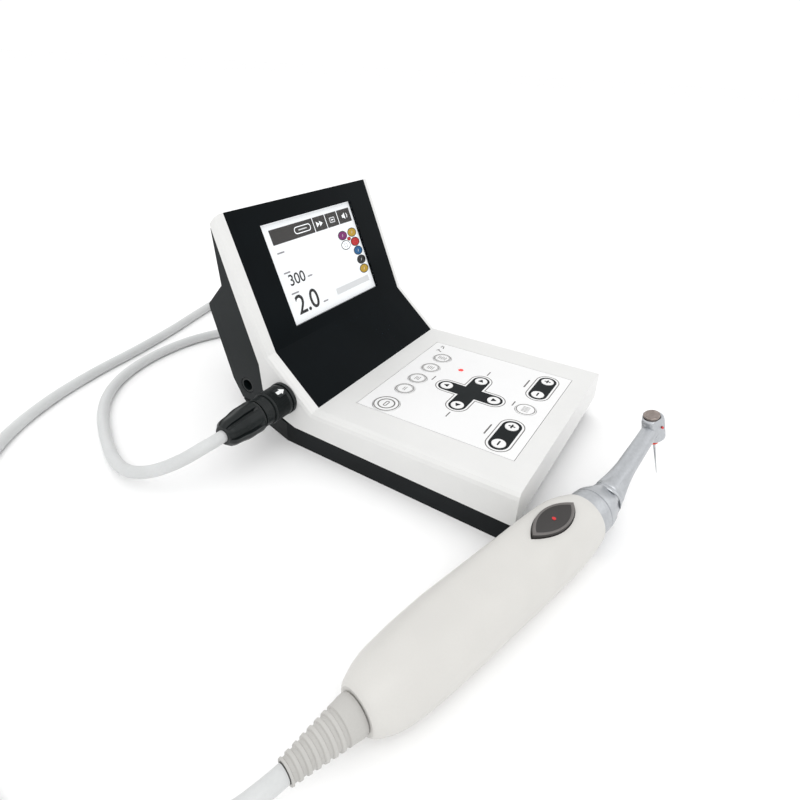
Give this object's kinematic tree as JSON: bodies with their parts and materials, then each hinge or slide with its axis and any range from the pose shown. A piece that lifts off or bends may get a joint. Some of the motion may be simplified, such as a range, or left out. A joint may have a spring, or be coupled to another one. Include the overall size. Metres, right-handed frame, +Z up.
{
  "type": "endodontic motor",
  "caption": "Table console with a tilted display and keypad, and a motor handpiece with a bent contra-angle and a root canal file, joined by a cord.",
  "frame": {"origin": "on the standing surface, under the middle of the console's base", "axes": "+X to the console's right, +Y to its back, +Z up"},
  "size_m": [0.3173, 0.322, 0.1075],
  "materials": {
    "white_casing": "satin moulded",
    "black_panel": "gloss",
    "display_glass": "clear",
    "display_module": "matte",
    "keypad_film": "fine matte film",
    "key_white": "matte",
    "lamp_red": "gloss",
    "base_black": "fine texture",
    "circuit_board": "satin",
    "charcoal_casing": "fine texture",
    "battery_wrap": "satin",
    "connector_plastic": "satin",
    "cord_sheath": "satin",
    "handle_plastic": "satin moulded",
    "boot_rubber": "matte",
    "button_rubber": "satin",
    "steel": "turned",
    "satin_metal": "bead blasted satin",
    "cap_steel": "polished",
    "file_steel": "ground",
    "stopper_silicone": "matte",
    "foot_rubber": "matte"
  },
  "bodies": {
    "root": {"upper_shell": "white_casing", "front_panel": "black_panel", "display_window": "display_glass", "display_module": "display_module", "keypad_membrane": "keypad_film", "status_lamp": "lamp_red", "base_shell": "base_black", "main_board": "circuit_board", "rear_cover": "charcoal_casing", "battery_pack": "battery_wrap", "charge_jack": "connector_plastic", "cord_socket": "connector_plastic", "plug_body": "connector_plastic", "plug_grip": "connector_plastic", "cord_plug_run": "cord_sheath", "cord_handpiece_run": "cord_sheath", "cord_coil": "cord_sheath", "handle_shell": "handle_plastic", "handle_boot": "boot_rubber", "motor_can": "steel", "motor_nose": "satin_metal", "base_screw_front_left": "steel", "base_screw_front_right": "steel", "base_screw_rear_left": "steel", "base_screw_rear_right": "steel", "foot_front_left": "foot_rubber", "foot_front_right": "foot_rubber", "foot_rear_left": "foot_rubber", "foot_rear_right": "foot_rubber"},
    "contra_angle": {"contra_sleeve": "satin_metal", "neck_and_head": "satin_metal", "cap_spring": "steel"},
    "motor_rotor": {"motor_shaft": "steel"},
    "input_rotor": {"input_shaft": "steel"},
    "neck_rotor": {"neck_shaft": "steel"},
    "file_spindle": {"chuck": "steel", "endo_file": "file_steel"},
    "stopper": {"file_stopper": "stopper_silicone"},
    "head_cap": {"push_cap": "cap_steel"},
    "handle_switch": {"handle_button": "button_rubber"},
    "locking_ring": {"plug_ring": "connector_plastic"},
    "power_key_body": {"power_key": "key_white"},
    "function_key_1_body": {"function_key_1": "key_white"},
    "function_key_2_body": {"function_key_2": "key_white"},
    "function_key_3_body": {"function_key_3": "key_white"},
    "function_key_4_body": {"function_key_4": "key_white"},
    "arrow_key_back_body": {"arrow_key_back": "key_white"},
    "arrow_key_front_body": {"arrow_key_front": "key_white"},
    "arrow_key_right_body": {"arrow_key_right": "key_white"},
    "arrow_key_left_body": {"arrow_key_left": "key_white"},
    "torque_key_plus_body": {"torque_key_plus": "key_white"},
    "torque_key_minus_body": {"torque_key_minus": "key_white"},
    "select_key_body": {"select_key": "key_white"},
    "speed_key_plus_body": {"speed_key_plus": "key_white"},
    "speed_key_minus_body": {"speed_key_minus": "key_white"}
  },
  "joints": [
    {"name": "power_key_press", "type": "slide", "parent": "root", "child": "power_key_body", "axis": [0, -0.0293, -0.9996], "range_m": [0, 0.0004], "stiffness_N_per_m": 2000, "springref_m": -0.0002},
    {"name": "function_key_1_press", "type": "slide", "parent": "root", "child": "function_key_1_body", "axis": [0, -0.0293, -0.9996], "range_m": [0, 0.0004], "stiffness_N_per_m": 2000, "springref_m": -0.0002},
    {"name": "function_key_2_press", "type": "slide", "parent": "root", "child": "function_key_2_body", "axis": [0, -0.0293, -0.9996], "range_m": [0, 0.0004], "stiffness_N_per_m": 2000, "springref_m": -0.0002},
    {"name": "function_key_3_press", "type": "slide", "parent": "root", "child": "function_key_3_body", "axis": [0, -0.0293, -0.9996], "range_m": [0, 0.0004], "stiffness_N_per_m": 2000, "springref_m": -0.0002},
    {"name": "function_key_4_press", "type": "slide", "parent": "root", "child": "function_key_4_body", "axis": [0, -0.0293, -0.9996], "range_m": [0, 0.0004], "stiffness_N_per_m": 2000, "springref_m": -0.0002},
    {"name": "arrow_key_back_press", "type": "slide", "parent": "root", "child": "arrow_key_back_body", "axis": [0, -0.0293, -0.9996], "range_m": [0, 0.0004], "stiffness_N_per_m": 2000, "springref_m": -0.0002},
    {"name": "arrow_key_front_press", "type": "slide", "parent": "root", "child": "arrow_key_front_body", "axis": [0, -0.0293, -0.9996], "range_m": [0, 0.0004], "stiffness_N_per_m": 2000, "springref_m": -0.0002},
    {"name": "arrow_key_right_press", "type": "slide", "parent": "root", "child": "arrow_key_right_body", "axis": [0, -0.0293, -0.9996], "range_m": [0, 0.0004], "stiffness_N_per_m": 2000, "springref_m": -0.0002},
    {"name": "arrow_key_left_press", "type": "slide", "parent": "root", "child": "arrow_key_left_body", "axis": [0, -0.0293, -0.9996], "range_m": [0, 0.0004], "stiffness_N_per_m": 2000, "springref_m": -0.0002},
    {"name": "torque_key_plus_press", "type": "slide", "parent": "root", "child": "torque_key_plus_body", "axis": [0, -0.0293, -0.9996], "range_m": [0, 0.0004], "stiffness_N_per_m": 2000, "springref_m": -0.0002},
    {"name": "torque_key_minus_press", "type": "slide", "parent": "root", "child": "torque_key_minus_body", "axis": [0, -0.0293, -0.9996], "range_m": [0, 0.0004], "stiffness_N_per_m": 2000, "springref_m": -0.0002},
    {"name": "select_key_press", "type": "slide", "parent": "root", "child": "select_key_body", "axis": [0, -0.0293, -0.9996], "range_m": [0, 0.0004], "stiffness_N_per_m": 2000, "springref_m": -0.0002},
    {"name": "speed_key_plus_press", "type": "slide", "parent": "root", "child": "speed_key_plus_body", "axis": [0, -0.0293, -0.9996], "range_m": [0, 0.0004], "stiffness_N_per_m": 2000, "springref_m": -0.0002},
    {"name": "speed_key_minus_press", "type": "slide", "parent": "root", "child": "speed_key_minus_body", "axis": [0, -0.0293, -0.9996], "range_m": [0, 0.0004], "stiffness_N_per_m": 2000, "springref_m": -0.0002},
    {"name": "locking_ring_turn", "type": "hinge", "parent": "root", "child": "locking_ring", "pos_m": [-0.065, 0.0195, 0.026], "axis": [-1, 0, 0], "range_deg": [0, 60]},
    {"name": "handle_button_press", "type": "slide", "parent": "root", "child": "handle_switch", "axis": [0, 0, -1], "range_m": [0, 0.0008], "stiffness_N_per_m": 2000, "springref_m": -0.0003},
    {"name": "contra_angle_turn", "type": "hinge", "parent": "root", "child": "contra_angle", "pos_m": [-0.1489, -0.0905, 0.0132], "axis": [0.9613, -0.2756, 0], "range_deg": [-180, 180]},
    {"name": "motor_spin", "type": "hinge", "parent": "root", "child": "motor_rotor", "pos_m": [-0.1489, -0.0905, 0.0132], "axis": [0.9613, -0.2756, 0], "continuous": true},
    {"name": "input_spin", "type": "hinge", "parent": "contra_angle", "child": "input_rotor", "pos_m": [-0.1489, -0.0905, 0.0132], "axis": [0.9613, -0.2756, 0], "continuous": true},
    {"name": "neck_spin", "type": "hinge", "parent": "contra_angle", "child": "neck_rotor", "pos_m": [-0.02394, -0.12633, 0.0132], "axis": [0.9127, -0.1807, 0.3664], "continuous": true},
    {"name": "file_spin", "type": "hinge", "parent": "contra_angle", "child": "file_spindle", "pos_m": [0.01622, -0.13428, 0.02932], "axis": [-0.1438, 0.2528, 0.9568], "continuous": true},
    {"name": "stopper_slide", "type": "slide", "parent": "file_spindle", "child": "stopper", "axis": [0.1438, -0.2528, -0.9568], "range_m": [0, 0.012]},
    {"name": "head_cap_press", "type": "slide", "parent": "contra_angle", "child": "head_cap", "axis": [0.1438, -0.2528, -0.9568], "range_m": [0, 0.0007], "stiffness_N_per_m": 3000, "springref_m": -0.0003}
  ],
  "couplings": [
    {"joint": "input_spin", "follows": "motor_spin", "ratio": 1},
    {"joint": "neck_spin", "follows": "motor_spin", "ratio": 0.66667},
    {"joint": "file_spin", "follows": "motor_spin", "ratio": 0.16667}
  ]
}
